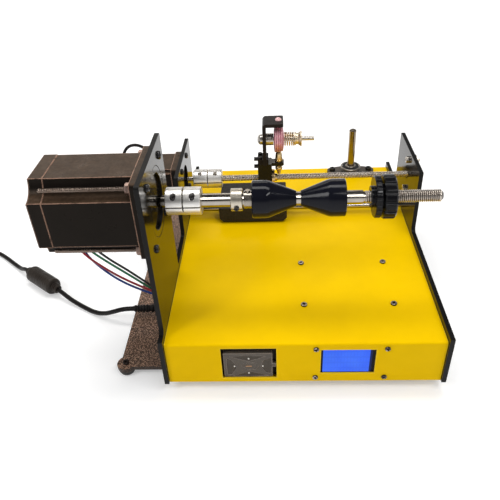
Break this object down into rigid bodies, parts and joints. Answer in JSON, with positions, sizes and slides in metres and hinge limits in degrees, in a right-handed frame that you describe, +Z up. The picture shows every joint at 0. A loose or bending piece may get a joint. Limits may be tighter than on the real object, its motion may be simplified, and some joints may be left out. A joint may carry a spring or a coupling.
{
  "type": "coil winding machine",
  "caption": "Bench coil winder: a motor turns a coned winding spindle, and a second motor drives a lead-screw carriage with a wire tensioner.",
  "frame": {"origin": "middle of the machine's footprint, on the bench under the feet, without its power lead and motor wires", "axes": "+X along the spindle towards its free threaded end, +Y from the control panel to the back, +Z up"},
  "size_m": [0.7379, 0.393, 0.252],
  "materials": {
    "cover_yellow": "semi-gloss powder coat",
    "plate_black": "polished black plate with a mirror-like face",
    "base_hammered": "hammered copper-brown paint",
    "rubber": "matt moulded rubber",
    "screw_black": "black oxide",
    "motor_black": "satin black enamel",
    "steel": "ground steel",
    "aluminium": "turned aluminium",
    "cone_black": "polished blue-black",
    "plastic_black": "moulded black",
    "print_grey": "layered print, charcoal",
    "zinc_grey": "cast zinc",
    "brass": "turned brass",
    "felt_pink": "rose-tinted discs with felt",
    "bead_pink": "glazed ceramic bead",
    "lcd_blue": "lit blue display",
    "board_green": "circuit board",
    "pad_grey": "textured membrane",
    "key_dark": "moulded key",
    "cord_black": "flexible black sheath",
    "wire_sheath": "coloured insulation"
  },
  "bodies": {
    "machine": {"base_plate": "base_hammered", "rubber_feet": "rubber", "machine_screws": "screw_black", "deck_cover": "cover_yellow", "left_side_plate": "plate_black", "right_side_plate": "plate_black", "main_motor_caps": "motor_black", "main_motor_body": "motor_black", "main_motor_bolts": "screw_black", "traverse_motor_body": "motor_black", "traverse_motor_screws": "screw_black", "guide_rod": "steel", "screw_bearing_housing": "zinc_grey", "spool_bearing_housing": "zinc_grey", "bearing_bolts": "screw_black", "lcd_module": "plastic_black", "lcd_window": "lcd_blue", "keypad_body": "pad_grey", "control_board": "board_green", "power_socket": "plastic_black", "power_lead": "cord_black", "lead_coil": "cord_black", "lead_ferrite": "cord_black", "lead_plug": "cord_black", "lead_connector": "cord_black", "motor_wires": "wire_sheath", "traverse_motor_cable": "cord_black"},
    "spindle": {"main_motor_shaft": "steel", "main_coupling": "aluminium", "spindle_screws": "screw_black", "spindle_shaft": "steel", "stop_collar": "aluminium", "drive_hub": "steel", "left_cone": "cone_black"},
    "tail_cone": {"right_cone": "cone_black"},
    "clamp_flange": {"clamp_disc": "plastic_black"},
    "hand_nut": {"clamp_nut": "plastic_black"},
    "traverse_screw": {"traverse_motor_shaft": "steel", "traverse_coupling": "aluminium", "traverse_coupling_screws": "screw_black", "lead_screw": "steel"},
    "carriage": {"carriage_slab": "print_grey", "carriage_bushes": "brass", "lead_nut": "brass", "tension_block": "plastic_black", "carriage_screws": "screw_black", "tension_bracket": "screw_black", "top_eyelet": "bead_pink", "wire_nozzle": "brass", "tension_stud": "steel", "tension_spring": "brass"},
    "pressure_discs": {"tension_discs": "felt_pink"},
    "adjuster": {"thumb_nut": "brass"},
    "post": {"spool_post": "steel"},
    "up_key": {"key_up": "key_dark"},
    "down_key": {"key_down": "key_dark"},
    "left_key": {"key_left": "key_dark"},
    "right_key": {"key_right": "key_dark"},
    "centre_key": {"key_centre": "key_dark"}
  },
  "joints": [
    {"name": "spindle_spin", "type": "hinge", "parent": "machine", "child": "spindle", "pos_m": [0.05025, -0.1185, 0.201], "axis": [1, 0, 0], "continuous": true},
    {"name": "tail_cone_slide", "type": "slide", "parent": "spindle", "child": "tail_cone", "axis": [1, 0, 0], "range_m": [0, 0.022]},
    {"name": "clamp_slide", "type": "slide", "parent": "spindle", "child": "clamp_flange", "axis": [1, 0, 0], "range_m": [-0.006, 0.04]},
    {"name": "hand_nut_spin", "type": "hinge", "parent": "clamp_flange", "child": "hand_nut", "pos_m": [0.13525, -0.1185, 0.201], "axis": [1, 0, 0], "continuous": true},
    {"name": "carriage_slide", "type": "slide", "parent": "machine", "child": "carriage", "axis": [1, 0, 0], "range_m": [-0.038, 0.11]},
    {"name": "screw_spin", "type": "hinge", "parent": "machine", "child": "traverse_screw", "pos_m": [0.05025, 0.0615, 0.128], "axis": [1, 0, 0], "continuous": true},
    {"name": "disc_spin", "type": "hinge", "parent": "carriage", "child": "pressure_discs", "pos_m": [0.02925, 0.0615, 0.183], "axis": [1, 0, 0], "continuous": true},
    {"name": "thumb_slide", "type": "slide", "parent": "carriage", "child": "adjuster", "axis": [1, 0, 0], "range_m": [-0.004, 0.007], "deforming": ["tension_spring"]},
    {"name": "post_spin", "type": "hinge", "parent": "machine", "child": "post", "pos_m": [0.13965, 0.1755, 0.104], "axis": [0, 0, 1], "continuous": true},
    {"name": "up_press", "type": "slide", "parent": "machine", "child": "up_key", "axis": [0, 1, 0], "range_m": [0, 0.0008], "stiffness_N_per_m": 300},
    {"name": "down_press", "type": "slide", "parent": "machine", "child": "down_key", "axis": [0, 1, 0], "range_m": [0, 0.0008], "stiffness_N_per_m": 300},
    {"name": "left_press", "type": "slide", "parent": "machine", "child": "left_key", "axis": [0, 1, 0], "range_m": [0, 0.0008], "stiffness_N_per_m": 300},
    {"name": "right_press", "type": "slide", "parent": "machine", "child": "right_key", "axis": [0, 1, 0], "range_m": [0, 0.0008], "stiffness_N_per_m": 300},
    {"name": "centre_press", "type": "slide", "parent": "machine", "child": "centre_key", "axis": [0, 1, 0], "range_m": [0, 0.0008], "stiffness_N_per_m": 300}
  ],
  "couplings": [
    {"joint": "screw_spin", "follows": "carriage_slide", "rad_per_m": 785.4},
    {"joint": "hand_nut_spin", "follows": "clamp_slide", "rad_per_m": 3141.6}
  ]
}
